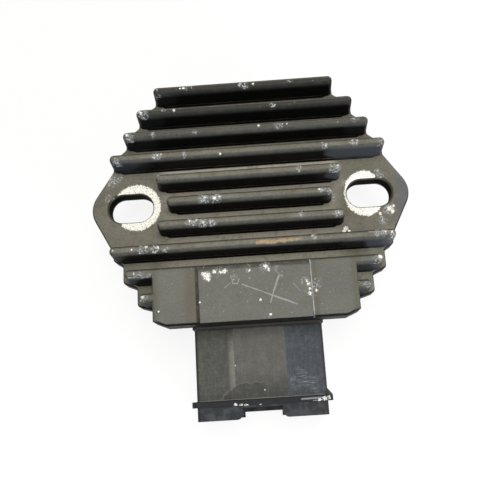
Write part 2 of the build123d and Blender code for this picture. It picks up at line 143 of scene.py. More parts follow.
# Its wear in millimetres: marks on the fins are listed by row, as (x, off the crest's middle, below the
# crest, radius), and the others are (x, y, z, radius)
wear = {
    "finChips": {
        1: [(-16.6, 0.3, 0, 0.6), (-17.6, 0.2, 0, 0.35), (3.1, 0.1, 0, 0.55), (-0.6, 0.3, 0, 0.3),
            (-24.2, 0.2, 0.2, 0.4)],
        2: [(-28.8, 0.1, 0.2, 0.75), (-19.5, 0.3, 0, 0.6), (-27.7, -1.0, 1.6, 0.6), (-29.3, 0.5, 0.1, 0.45)],
        3: [(-32.8, 0.3, 0.2, 0.65), (-31.6, -1.1, 1.5, 0.8), (3.9, 0.4, 0, 0.5), (10.4, 0.3, 0, 0.3),
            (11.6, 0.3, 0, 0.3)],
        4: [(-35.4, -0.9, 1.0, 0.6), (-24.5, 0.2, 0, 0.4), (-23.5, 0.4, 0, 0.35), (-7.2, -0.6, 0.2, 0.4),
            (20.9, 0.6, 0, 0.35), (29.2, 0.7, 0, 0.5), (30.4, 0.7, 0, 0.45), (-36.2, 0.3, 0, 0.35)],
        5: [(23.9, -0.9, 0.9, 0.5), (24.6, 0.2, 0.2, 0.4), (-22.6, 1.2, 4.0, 0.4)],
        6: [(-12.0, 0.1, 0.1, 0.6), (-9.4, -0.1, 0.1, 0.7), (-7.9, 0.1, 0, 0.5), (18.9, 0.3, 0.1, 0.4)],
        7: [(-16.2, 0.4, 0.1, 0.5), (-14.4, 0.5, 0.1, 0.55), (-12.6, -0.3, 0.1, 0.5),
            (23.6, -0.1, 0.2, 0.5)],
        8: [(-37.0, 0.0, 0.2, 0.45), (-31.9, 0.0, 0.1, 0.45), (-28.1, 0.6, 0.1, 0.6), (-24.9, 0.1, 0.1, 0.5),
            (36.9, 0.2, 0.2, 0.6), (35.2, 0.5, 0.1, 0.4)],
        9: [(33.2, 0.3, 0.2, 1.0), (-31.4, 0.1, 0.1, 0.4)],
        10: [(-29.3, 0.2, 0.2, 0.7), (-29.8, -0.6, 0.6, 0.5)]},
    "finScuffs": {
        1: [(-24.0, -1.1, 1.8, 1.6), (-15.5, 0.3, 0, 1.5), (0.3, 0.2, 0, 1.6), (13.5, 0.2, 0, 1.2)],
        2: [(-28.6, -0.3, 0.6, 2.0), (8.3, -0.4, 0.3, 1.1), (-22.5, 0.3, 0, 1.0)],
        3: [(-32.4, -0.6, 1.0, 2.2), (-25.8, -0.3, 0.2, 1.0), (-13.9, -0.2, 0.1, 0.9), (9.0, 0.1, 0, 1.8),
            (30.5, -0.3, 0.3, 1.6)],
        4: [(-35.8, -1.1, 1.2, 2.0), (-25.0, 0.2, 0, 2.0), (-17.0, -0.1, 0.1, 1.2), (21.5, 0.1, 0, 1.5),
            (29.5, 0.4, 0, 1.8), (36.5, -0.3, 0.5, 1.8)],
        5: [(-24.6, 0.0, 0.3, 1.4), (23.4, -0.8, 0.7, 2.4), (25.0, -0.2, 0.3, 1.6), (14.0, 0.3, 0, 1.2)],
        6: [(-11.9, -0.1, 0.2, 2.4), (-9.0, -0.2, 0.3, 2.5), (19.6, 0.1, 0.2, 1.6), (21.9, -0.5, 0.6, 1.2)],
        7: [(-15.8, 0.2, 0.1, 2.4), (-12.9, -0.3, 0.3, 2.3), (-10.5, -0.5, 0.4, 1.6), (23.4, -0.3, 0.4, 1.8),
            (13.4, 0.2, 0.1, 1.2)],
        8: [(-29.2, 0.6, 0.1, 2.2), (-25.6, 0.3, 0.1, 1.9), (-23.2, -0.6, 0.4, 1.2), (33.8, 0.4, 0.1, 2.4),
            (36.9, -0.6, 0.6, 2.0), (16.6, 0.2, 0.1, 1.5)],
        9: [(-30.2, -0.7, 0.3, 1.6), (32.6, -0.4, 0.4, 1.8), (-27.5, -0.9, 0.3, 1.3)],
        10: [(-28.6, -0.4, 0.5, 1.6), (28.9, 0.0, 0.3, 1.5)]},
    # greyed stretches of the near faces, partly a haze of handling and partly painted light for the cool
    # side light on their ends: marks by row as above, drawn out along x by the factor below
    "hazeAndSideLight": {4: [(28.0, -1.6, 3, 4.4), (34.0, -1.6, 3, 4.6)],
             5: [(26.5, -1.6, 3, 3.6)],
             6: [(24.6, -1.6, 3, 3.2)],
             8: [(34.5, -1.6, 3, 4.8), (29.0, -1.6, 3, 3.8)]},
    "hazeAndSideLightFaint": {1: [(-24.0, -1.6, 3, 3.6)],
                  2: [(-28.2, -1.6, 3, 3.9)],
                  3: [(-31.2, -1.6, 3, 4.6), (32.5, -1.6, 3, 3.6)],
                  4: [(-33.5, -1.6, 3, 4.8)],
                  9: [(31.2, -1.6, 3, 4.2)]},
    "hazeLength": 1.7,
    "plateChips": [(26.0, -10.0, 5, 1.0), (25.4, -10.7, 5, 0.7), (26.8, -10.7, 5, 0.6), (38.6, -5.0, 5, 1.2),
                   (39.3, -5.9, 5, 0.8), (39.7, -4.3, 5, 0.6), (35.9, -6.3, 5, 0.6)],
    "padChips": [(-12.3, -22.2, 12.4, 1.5), (-12.0, -23.0, 12.4, 0.9), (-13.2, -21.7, 12.4, 0.8),
                 (-10.3, -21.2, 12.4, 0.7), (-7.6, -21.2, 12.4, 1.0), (-8.7, -21.4, 12.4, 0.6),
                 (3.2, -20.6, 12.4, 0.9), (3.9, -21.5, 12.4, 0.6), (-1.2, -21.4, 12.4, 0.5),
                 (13.9, -26.0, 12.4, 0.6), (14.2, -28.5, 12.3, 0.8), (14.1, -27.2, 12.3, 0.5),
                 (15.9, -27.7, 12, 0.6), (13.6, -25.2, 12.4, 0.4), (1.3, -29.3, 12.4, 0.5),
                 (3.7, -33.2, 12.4, 0.4), (-25.2, -30.6, 12, 0.4), (-14.4, -28.9, 12.3, 0.4)],
    "padScuffs": [(-9.4, -21.2, 12.4, 1.7), (-1.8, -21.0, 12.4, 1.5), (2.8, -20.6, 12.4, 1.8),
                  (-5.2, -23.2, 12.4, 1.5), (14.6, -27.6, 12.3, 2.2), (16.0, -25.8, 12, 1.7),
                  (12.9, -25.2, 12.4, 1.4), (5.9, -21.2, 12.4, 1.0)],
    "plateScuffs": [(-38.6, 8.6, 5, 2.9), (-36.6, 9.8, 5, 1.8), (-39.6, 3.4, 5, 1.9), (36.6, 5.2, 5, 1.8),
                    (38.2, -5.2, 5, 2.6), (23.4, -1.2, 5, 1.5), (26.9, 3.0, 5, 1.3), (36.3, -8.2, 5, 1.8)],
    # strokes: start, end, half width
    "scratches": [((-3.2, -25.0, 12.4), (3.5, -27.9, 12.4), 0.2),
                  ((3.5, -27.9, 12.4), (10.6, -31.0, 12.4), 0.28),
                  ((6.4, -23.4, 12.4), (4.9, -27.0, 12.4), 0.3),
                  ((4.9, -27.0, 12.4), (3.8, -30.2, 12.4), 0.22),
                  ((-6.1, -22.4, 12.4), (-5.6, -24.6, 12.4), 0.16),
                  ((-5.6, -24.6, 12.4), (-4.4, -24.7, 12.4), 0.26),
                  ((-4.4, -24.7, 12.4), (-3.9, -23.5, 12.4), 0.14),
                  ((5.5, -21.7, 12.4), (7.3, -23.8, 12.4), 0.12),
                  ((10.0, -25.5, 12.4), (11.6, -27.6, 12.4), 0.12),
                  ((-7.9, -25.6, 12.4), (-6.2, -24.4, 12.4), 0.12)],
    "edgeLines": [((-33.0, -21.3, 11.8), (-27.2, -21.4, 11.8), 0.3),
                  ((22.6, 4.9, 11.6), (24.6, 5.0, 11.4), 0.25),
                  ((24.9, 5.0, 11.4), (25.2, 6.9, 11.6), 0.25),
                  ((31.0, -13.1, 12.0), (37.4, -13.2, 11.9), 0.3),
                  ((20.4, -1.6, 11.6), (22.2, -1.2, 11.4), 0.2),
                  ((23.2, -8.1, 11.6), (25.0, -7.4, 11.4), 0.25)],
    "primerRun": [((1.6, -14.1, 12.0), (8.6, -13.9, 12.0), 0.85),
                  ((8.6, -13.9, 12.0), (13.2, -13.7, 12.0), 0.6)],
    # rings that the bolts' flanges rubbed bare: they taper outwards, the stops end their far and near arcs,
    # and broken says how far the side towards the fins is broken up
    "rings": [{"x": -31.8, "y": 0.1, "radius": 6.75, "taper": 0.0, "farStop": 6.3, "nearStop": 4.4,
               "broken": 0.0},
              {"x": 32.9, "y": -0.1, "radius": 6.75, "taper": 0.36, "farStop": 2.9, "nearStop": 4.3,
               "broken": 0.3}]}

# Its paint. A band is (low end, high end, softness). A fade is (low end, high end), followed by the values
# that it goes from and to where these aren't 0 and 1. Ends are millimetres for a place, else a tilt or the
# level of a noise or mark. A push is the (lump, reach) in millimetres of the noise that moves a point about,
# and a tear is the (reach, level, softness) of the noisy cut through a mark.
paint = {
    "coat": "#0c0c0c", "coatWorn": "#171717", "hazeAndSideLight": "#3e4146", "hazeAndSideLightFaint": "#292b30", "paintedSheen": "#5b5a55",
    "slotWallShade": "#040404", "slotEdge": "#8f8d84", "slotMouth": "#4b483b", "dust": "#6a675c",
    "dustPale": "#77746a", "dustGrey": "#656661", "dustBrownAndShade": "#574f3c", "speck": "#9d9b90",
    "dirtAndShade": "#2a2820", "coolLight": "#575a5e", "strip": "#8f8b7e", "stripPale": "#bab6a7", "metal": "#f6f3ea",
    "metalDull": "#8f897a", "rubbedAndHighlit": "#bcc1c4", "primer": "#a88e6d",
    # lumps of the noises in millimetres
    "broadLump": 7, "patchLump": 2.2, "grainLump": 0.5, "fineLump": 0.26, "lineLump": 1.5, "nickLump": 0.7,
    # where things are
    "crestFade": (10.2, 11.2), "padFade": (casting["padFar"] - 0.6, casting["padFar"] - 0.1, 1.0, 0.0),
    "slotAcrossBand": (casting["slotInner"], casting["slotOuter"], 0.3),
    "slotAlongBand": (-casting["slotHalf"], casting["slotHalf"], 0.1), "wallFade": (4.0, 4.7, 1.0, 0.0),
    # the coat, its haze (partly painted light) and the painted sheen on its brows, which are the upper ends
    # of steep faces
    "wornFade": (0.4, 0.8), "hazeTear": (0.5, 0.1, 0.34), "hazeTiltFade": (0.2, 0.8, 1.0, 0.35),
    "browLevelFade": (9.8, 12.1), "browPatchFade": (0.2, 0.7, 0.7, 1.0),
    "browFarFade": (14.0, 26.0, 0.9, 0.26), "browNearFade": (-33.6, -32.8),
    "browGrainFade": (0.35, 0.6, 1.0, 0.75), "wallShadeShare": 0.9,
    # dust
    "leanShare": 0.5, "lyingFade": (0.58, 1.0), "coverFade": (0.2, 0.7, 0.82, 1.0), "paleFade": (0.35, 0.65),
    "farRowsFade": (14.5, 17.5, 0.0, 0.74), "lastRowsFade": (20.0, 24.0, 0.0, 0.13),
    "farTiltFade": (0.1, 0.4, 1.0, 0.25), "padGreyShare": 0.7, "stripsBand": (-18.0, 12.5, 1.0),
    "stripsSideFade": (22.0, 27.0, 0.75, 0.0), "fourthStripBand": (6.9, 11.6, 0.8),
    "brownFade": (0.46, 0.72, 0.0, 0.5), "brownPadShare": 0.6, "padCalmShare": 0.45,
    "gritFade": (0.5, 0.7, 0.0, 0.4), "speckFade": (0.3, 0.47, 0.22, 0.0),
    # dirt, painted shade and painted cool light; the reach of the painted shade at the fins' feet is in
    # millimetres
    "panelLeftBand": (-casting["panelHalf"] - 0.75, -casting["panelHalf"] + 0.05, 0.2),
    "panelFarBand": (casting["padFar"] - 1.6, casting["padFar"] - 0.5, 0.35),
    "panelBand": (-casting["panelHalf"], casting["panelHalf"], 0.3), "panelFarShare": 0.8,
    "ledgeFade": (0.25, 0.55, 0.6, 1.0), "ledgeShare": 0.8,
    "leftShadeBand": (-casting["panelHalf"] - 3.4, -casting["panelHalf"], 1.2),
    "endShadeBand": (casting["padHalf"] - 1.6, casting["padHalf"] + 1.0, 0.9),
    "rightShadeBand": (casting["panelHalf"] + 0.4, casting["panelHalf"] + 1.6, 0.6), "shadeShare": 0.42,
    "footShadeReach": 0.5, "footShadeFade": (0.4, 0.75, 0.45, 0.0), "farEdgeShadeFade": (0.3, 0.7, 0.0, 0.75),
    "coolFade": (37.5, 43.5, 0.0, 0.6),
    # the slots' low edges and mouths
    "lowEdgeFade": (0.6, 1.3, 0.9, 0.0), "lowEdgeSideFade": (34.5, 38.0, 0.15, 1.0),
    "mouthTiltBand": (0.15, 0.92, 0.06), "mouthLevelFade": (3.8, 4.4),
    # rubbed marks and the panel's painted highlight
    "linePush": (1.6, 0.6), "lineFade": (0.006, 0.042, 1.0, 0.0), "lineGrainFade": (0.44, 0.56, 0.15, 1.0),
    "smearFade": (0.51, 0.63), "smearShare": 0.85, "scuffPush": (2.4, 1.1), "scuffTear": (2.2, 0.3, 0.25),
    "scuffFade": (0.0, 0.6, 0.55, 1.0), "padRubFade": (0.0, 1.0, 1.0, 0.6), "scratchPush": (1.1, 0.1),
    "scratchTear": (1.6, 0.3, 0.5), "scratchShare": 0.36,
    "panelRightHighlightBand": (casting["panelHalf"] - 0.02, casting["panelHalf"] + 0.2, 0.08),
    "panelRightHighlightFade": (0.35, 0.6, 0.25, 0.7), "nickFade": (0.69, 0.75, 0.0, 0.35),
    "primerTear": (2.6, 0.42, 0.35), "primerGrainFade": (0.42, 0.58, 0.92, 0.5),
    # bare metal; a ring's places are off its centre
    "chipPush": (0.8, 0.3), "chipTear": (2.8, 0.36, 0.14), "flatFade": (0.72, 0.86),
    "bareLevelFade": (4.0, 4.5), "ringTurn": 0.5, "ringThinFade": (-5.2, -3.6),
    "ringThinBand": (-3.2, 3.2, 0.8), "ringReach": 2.6, "ringSoft": 0.07, "pitShare": 0.5,
    "pitFade": (0.52, 0.58, 0.0, 0.85),
    # surface; the depth is in millimetres
    "roughFade": (0.2, 0.8, 0.42, 0.56), "coverRough": 0.35, "grainHeight": 0.6, "patchHeight": 0.4,
    "depth": 0.08, "gloss": 0.05, "bareMetallic": 0.15}


def finRow(row):
    # y of a fin's middle
    return casting["finShift"] + (casting["rowOnSlots"] - row) * casting["finPitch"]


def onFins(marks):
    # marks by row turned into places: (x, y, z, radius)
    return [(x, finRow(row) + off, casting["crestLevel"] - drop, radius)
            for row, here in marks.items() for x, off, drop, radius in here]


def readCasting(add, point):
    # what the layers go by: places in millimetres, tilts, noises, the crests, the pad and the slots' walls
    at = SimpleNamespace(point=point)
    at.across, at.along, at.level = add("SeparateXYZ", {}, point).node.outputs
    facing = add("NewGeometry", {}).node.outputs["Normal"]
    at.tiltAlong, at.tiltUp = add("SeparateXYZ", {}, facing).node.outputs[1:]
    at.side = add("Math", absolute, at.across)
    at.broad = add("TexNoise", {}, Vector=point, Scale=1 / paint["broadLump"], Detail=4.0)
    at.patch = add("TexNoise", {}, Vector=point, Scale=1 / paint["patchLump"], Detail=4.0, Roughness=0.6)
    at.grain = add("TexNoise", {}, Vector=point, Scale=1 / paint["grainLump"], Detail=4.0, Roughness=0.7)
    at.fine = add("TexNoise", {}, Vector=point, Scale=1 / paint["fineLump"], Detail=2.0, Roughness=0.6)
    at.crest = add("MapRange", smooth, at.level, *paint["crestFade"])
    at.pad = add("Math", times, at.crest, add("MapRange", smooth, at.along, *paint["padFade"]))
    at.inSlot = add("Math", times, band(add, at.side, *paint["slotAcrossBand"]),
                    band(add, at.along, *paint["slotAlongBand"]))
    at.wall = add("Math", times, at.inSlot, add("MapRange", smooth, at.level, *paint["wallFade"]))
    return at


def sprayCoat(add, at):
    # black, greyed by handling on the open stretches of the near faces and painted lighter there where the
    # side lamp falls, a painted grey sheen on the brows above them, and painted shade darkening the slots'
    # walls
    coat = add("Mix", colours, add("MapRange", smooth, at.patch, *paint["wornFade"]), paint["coat"],
               paint["coatWorn"])
    shortened = add("VectorMath", times, at.point, (1 / wear["hazeLength"], 1.0, 1.0))
    # painted light: the haze marks are a lighter, cooler grey where the side lamp lights the near faces'
    # ends
    for kind in ("hazeAndSideLight", "hazeAndSideLightFaint"):
        stretches = [(x / wear["hazeLength"], y, z, radius) for x, y, z, radius in onFins(wear[kind])]
        hazed = jagged(add, spots(add, shortened, stretches), at.patch, *paint["hazeTear"])
        hazed = add("Math", times, hazed, add("MapRange", smooth, at.tiltUp, *paint["hazeTiltFade"]))
        coat = add("Mix", colours, hazed, coat, paint[kind])
    # painted sheen: a lighter grey fading down from the near faces' upper ends stands in for the sheen of
    # light on the crests
    paintedSheen = add("Math", times, add("MapRange", smooth, at.level, *paint["browLevelFade"]),
               add("MapRange", smooth, at.patch, *paint["browPatchFade"]))
    for value, fade in ((at.along, "browFarFade"), (at.along, "browNearFade"), (at.grain, "browGrainFade")):
        paintedSheen = add("Math", times, paintedSheen, add("MapRange", smooth, value, *paint[fade]))
    coat = add("Mix", colours, paintedSheen, coat, paint["paintedSheen"])
    # painted shade: the slots' walls are painted darker than the coat
    return add("Mix", colours, add("Math", times, at.wall, paint["wallShadeShare"]), coat, paint["slotWallShade"])


def measureDust(add, at):
    # thick on what lies flat, only on the far half of the rounded crests, thinner on the far rows
    lean = add("Math", timesPlus, at.tiltAlong, paint["leanShare"], at.tiltUp)
    at.lying = add("MapRange", smooth, lean, *paint["lyingFade"])
    thinner = [add("MapRange", smooth, at.along, *paint[fade]) for fade in ("farRowsFade", "lastRowsFade")]
    farRows = add("Math", times, at.crest, add("Math", plus, *thinner))
    farRows = add("Math", times, farRows, add("MapRange", smooth, at.tiltAlong, *paint["farTiltFade"]))
    at.cover = add("Math", times, at.lying, add("MapRange", smooth, at.patch, *paint["coverFade"]))
    at.cover = add("Math", times, at.cover, add("Math", less, 1.0, farRows))


def tintDust(add, at):
    tint = add("Mix", colours, add("MapRange", smooth, at.broad, *paint["paleFade"]), paint["dust"],
               paint["dustPale"])
    tint = add("Mix", colours, add("Math", times, at.pad, paint["padGreyShare"]), tint, paint["dustGrey"])
    # painted light: the lamps hardly reach the strips between the fins, so the dust there is painted paler
    # to stand in for their light, most of all between the fourth and fifth fins
    strip = add("Math", times, band(add, at.along, *paint["stripsBand"]),
                add("MapRange", smooth, at.side, *paint["stripsSideFade"]))
    strip = add("Math", times, strip, add("Math", less, 1.0, at.crest))
    tint = add("Mix", colours, strip, tint, paint["strip"])
    fourthStrip = band(add, at.along, *paint["fourthStripBand"])
    tint = add("Mix", colours, add("Math", times, strip, fourthStrip), tint, paint["stripPale"])
    # brown patches, dark grit and pale specks, all fewer on the pad
    brown = add("MapRange", smooth, at.patch, *paint["brownFade"])
    offPad = add("Math", less, 1.0, add("Math", times, at.pad, paint["brownPadShare"]))
    tint = add("Mix", colours, add("Math", times, brown, offPad), tint, paint["dustBrownAndShade"])
    calm = add("Math", timesPlus, at.pad, -paint["padCalmShare"], 1.0)
    for fade, tone in (("gritFade", "dirtAndShade"), ("speckFade", "speck")):
        grains = add("Math", times, add("MapRange", smooth, at.grain, *paint[fade]), calm)
        tint = add("Mix", colours, grains, tint, paint[tone])
    return tint


def addDirtAndShade(add, at, tint):
    # painted shadow beside the panel's left edge and a dark band along its far edge, painted shade round the
    # panel, at the pad's ends, at the fins' feet and on the crests' far slopes, and painted cool light
    # towards the right lug's nose
    # painted shadow: a dark line just left of the raised panel, where it casts its shadow, and a dark band
    # along the panel's far edge
    shadowLeftOfPanel = band(add, at.across, *paint["panelLeftBand"])
    besideFar = add("Math", times, band(add, at.along, *paint["panelFarBand"]),
                    band(add, at.across, *paint["panelBand"]))
    besideFar = add("Math", times, besideFar, paint["panelFarShare"])
    ledge = add("Math", times, at.pad, add("Math", most, shadowLeftOfPanel, besideFar))
    ledge = add("Math", times, ledge, add("MapRange", smooth, at.patch, *paint["ledgeFade"]))
    # painted shade: soft brown shading left and right of the raised panel and at the pad's ends
    shadeLeft = band(add, at.across, *paint["leftShadeBand"])
    shadeEnds = band(add, at.side, *paint["endShadeBand"])
    shadeRight = band(add, at.across, *paint["rightShadeBand"])
    shaded = add("Math", most, shadeLeft, add("Math", most, shadeEnds, shadeRight))
    shaded = add("Math", times, add("Math", times, shaded, at.pad), paint["shadeShare"])
    tint = add("Mix", colours, shaded, tint, paint["dustBrownAndShade"])
    tint = add("Mix", colours, add("Math", times, ledge, paint["ledgeShare"]), tint, paint["dirtAndShade"])
    # painted shade: darker where ambient occlusion finds the fins' feet close, and along the crests' far
    # slopes
    clear = add("AmbientOcclusion", {"samples": 6}, Distance=paint["footShadeReach"] * mm).node.outputs["AO"]
    foot = add("MapRange", smooth, clear, *paint["footShadeFade"])
    farEdgeShade = add("Math", times, at.crest, add("MapRange", smooth, at.tiltAlong, *paint["farEdgeShadeFade"]))
    tint = add("Mix", colours, add("Math", most, foot, farEdgeShade), tint, paint["dirtAndShade"])
    # painted light: a cooler grey towards the right lug's nose, where the cool side light falls
    return add("Mix", colours, add("MapRange", smooth, at.across, *paint["coolFade"]), tint, paint["coolLight"])


def ageSlots(add, at, tone):
    # the slots' walls are pale along the low edge and brown at the rounded mouth
    lowEdge = add("Math", times, at.inSlot, add("MapRange", smooth, at.level, *paint["lowEdgeFade"]))
    lowEdge = add("Math", times, lowEdge, add("MapRange", smooth, at.side, *paint["lowEdgeSideFade"]))
    tone = add("Mix", colours, lowEdge, tone, paint["slotEdge"])
    mouth = add("Math", times, at.inSlot, band(add, at.tiltUp, *paint["mouthTiltBand"]))
    mouth = add("Math", times, mouth, add("MapRange", smooth, at.level, *paint["mouthLevelFade"]))
    return add("Mix", colours, mouth, tone, paint["slotMouth"])


def wornAreas(add, at):
    # thin crossing lines (where the noise passes its middle level) and smears inside the scuffed places
    swung = pushedPoint(add, at.point, *paint["linePush"])
    lined = add("TexNoise", {}, Vector=swung, Scale=1 / paint["lineLump"], Detail=2.5)
    lined = add("Math", absolute, add("Math", less, lined, 0.5))
    lined = add("MapRange", smooth, lined, *paint["lineFade"])
    lined = add("Math", times, lined, add("MapRange", smooth, at.grain, *paint["lineGrainFade"]))
    smear = add("MapRange", smooth, at.grain, *paint["smearFade"])
    places = onFins(wear["finScuffs"]) + wear["padScuffs"] + wear["plateScuffs"]
    scuffed = spots(add, pushedPoint(add, at.point, *paint["scuffPush"]), places)
    torn = jagged(add, scuffed, at.patch, *paint["scuffTear"])
    worn = add("Math", times, torn, add("MapRange", smooth, scuffed, *paint["scuffFade"]))
    worn = add("Math", times, worn, add("Math", most, lined, add("Math", times, smear, paint["smearShare"])))
    return add("Math", times, worn, add("MapRange", smooth, at.pad, *paint["padRubFade"]))


def rubCoat(add, at, tone):
    # worn areas, scratches, a painted highlight on the panel's right edge and small nicks, then a run of tan
    # primer on one crest
    rubbedAndHighlit = wornAreas(add, at)
    wobbly = pushedPoint(add, at.point, *paint["scratchPush"])
    drawn = strokes(add, wobbly, wear["scratches"] + wear["edgeLines"])
    drawn = add("Math", times, jagged(add, drawn, at.patch, *paint["scratchTear"]), paint["scratchShare"])
    # painted highlight: a pale line on the raised panel's right edge, where it catches the side light
    edge = add("Math", times, at.pad, band(add, at.across, *paint["panelRightHighlightBand"]))
    edge = add("Math", times, edge, add("MapRange", smooth, at.patch, *paint["panelRightHighlightFade"]))
    rubbedAndHighlit = add("Math", most, add("Math", most, rubbedAndHighlit, drawn), edge)
    nick = add("TexNoise", {}, Vector=at.point, Scale=1 / paint["nickLump"], Detail=2.0)
    nick = add("MapRange", smooth, nick, *paint["nickFade"])
    nick = add("Math", times, nick, add("Math", times, at.crest, at.lying))
    tone = add("Mix", colours, add("Math", most, rubbedAndHighlit, nick), tone, paint["rubbedAndHighlit"])
    run = jagged(add, strokes(add, wobbly, wear["primerRun"]), at.patch, *paint["primerTear"])
    run = add("Math", times, run, add("MapRange", smooth, at.grain, *paint["primerGrainFade"]))
    return add("Mix", colours, run, tone, paint["primer"])


def boltRing(add, at, ring):
    # disc less the slot is a ring; noise tears its rim, and it thins out towards the lug's nose
    x, y, turn, soft = ring["x"], ring["y"], paint["ringTurn"], paint["ringSoft"]
    away = add("VectorMath", apart, at.point, (x, y, casting["plateLevel"]))
    outward = add("Math", times, add("Math", less, at.across, x), math.copysign(1, x))
    reach = add("Math", timesPlus, add("Math", most, outward, 0.0), ring["taper"], away)
    stop = add("MapRange", smooth, at.along, y - turn, y + turn, ring["nearStop"], ring["farStop"])
    inRadius = add("Math", less, ring["radius"], reach)
    room = add("Math", least, inRadius, add("Math", less, stop, outward))
    thin = add("MapRange", smooth, outward, *paint["ringThinFade"], ring["broken"], 0.0)
    thin = add("Math", times, thin, band(add, at.along, *paint["ringThinBand"]))
    grit = add("Math", less, at.grain, 0.5)
    torn = add("Math", timesPlus, grit, paint["ringReach"], add("Math", less, room, thin))
    return add("MapRange", smooth, torn, -soft, soft)


def bareMetal(add, at):
    # how bare each place is: torn chips and the two bolt rings
    places = onFins(wear["finChips"]) + wear["plateChips"] + wear["padChips"]
    chips = spots(add, pushedPoint(add, at.point, *paint["chipPush"]), places)
    bare = jagged(add, chips, at.fine, *paint["chipTear"])
    flat = add("MapRange", smooth, at.tiltUp, *paint["flatFade"])
    for ring in wear["rings"]:
        bare = add("Math", most, bare, add("Math", times, boltRing(add, at, ring), flat))
    return add("Math", times, bare, add("MapRange", smooth, at.level, *paint["bareLevelFade"]))


def makeCastingPaint():
    # Die-cast aluminium under sprayed satin black: soft sheen, a fine cast grain below the coat, road dust
    # on whatever faces up, and bright metal where bolts, tools and stones took the coat off
    material, add, point = startMaterial("casting paint")
    at = readCasting(add, point)
    coat = sprayCoat(add, at)
    measureDust(add, at)
    tint = addDirtAndShade(add, at, tintDust(add, at))
    tone = ageSlots(add, at, add("Mix", colours, at.cover, coat, tint))
    tone = rubCoat(add, at, tone)
    bare = bareMetal(add, at)
    pitted = add("Math", times, at.fine, paint["pitShare"])
    pitted = add("Math", timesPlus, at.grain, paint["pitShare"], pitted)
    pitted = add("MapRange", smooth, pitted, *paint["pitFade"])
    metal = add("Mix", colours, pitted, paint["metal"], paint["metalDull"])
    tone = add("Mix", colours, bare, tone, metal)
    rough = add("Math", timesPlus, add("Math", most, at.cover, at.wall), paint["coverRough"],
                add("MapRange", smooth, at.patch, *paint["roughFade"]))
    height = add("Math", times, at.patch, paint["patchHeight"])
    height = add("Math", less, add("Math", timesPlus, at.grain, paint["grainHeight"], height), bare)
    metallic = add("Math", times, bare, paint["bareMetallic"])
    finishMaterial(add, {"Specular_IOR_Level": paint["gloss"]}, height, paint["depth"], Base_Color=tone,
                   Roughness=rough, Metallic=metallic)
    return material


# The socket's own sizes in millimetres, which its film and wear are placed by
mould = {"panelHalf": 6.95, "bevelOut": 9.1, "sideHalf": 16.9, "rimFar": -54.0, "rimNear": -55.6}

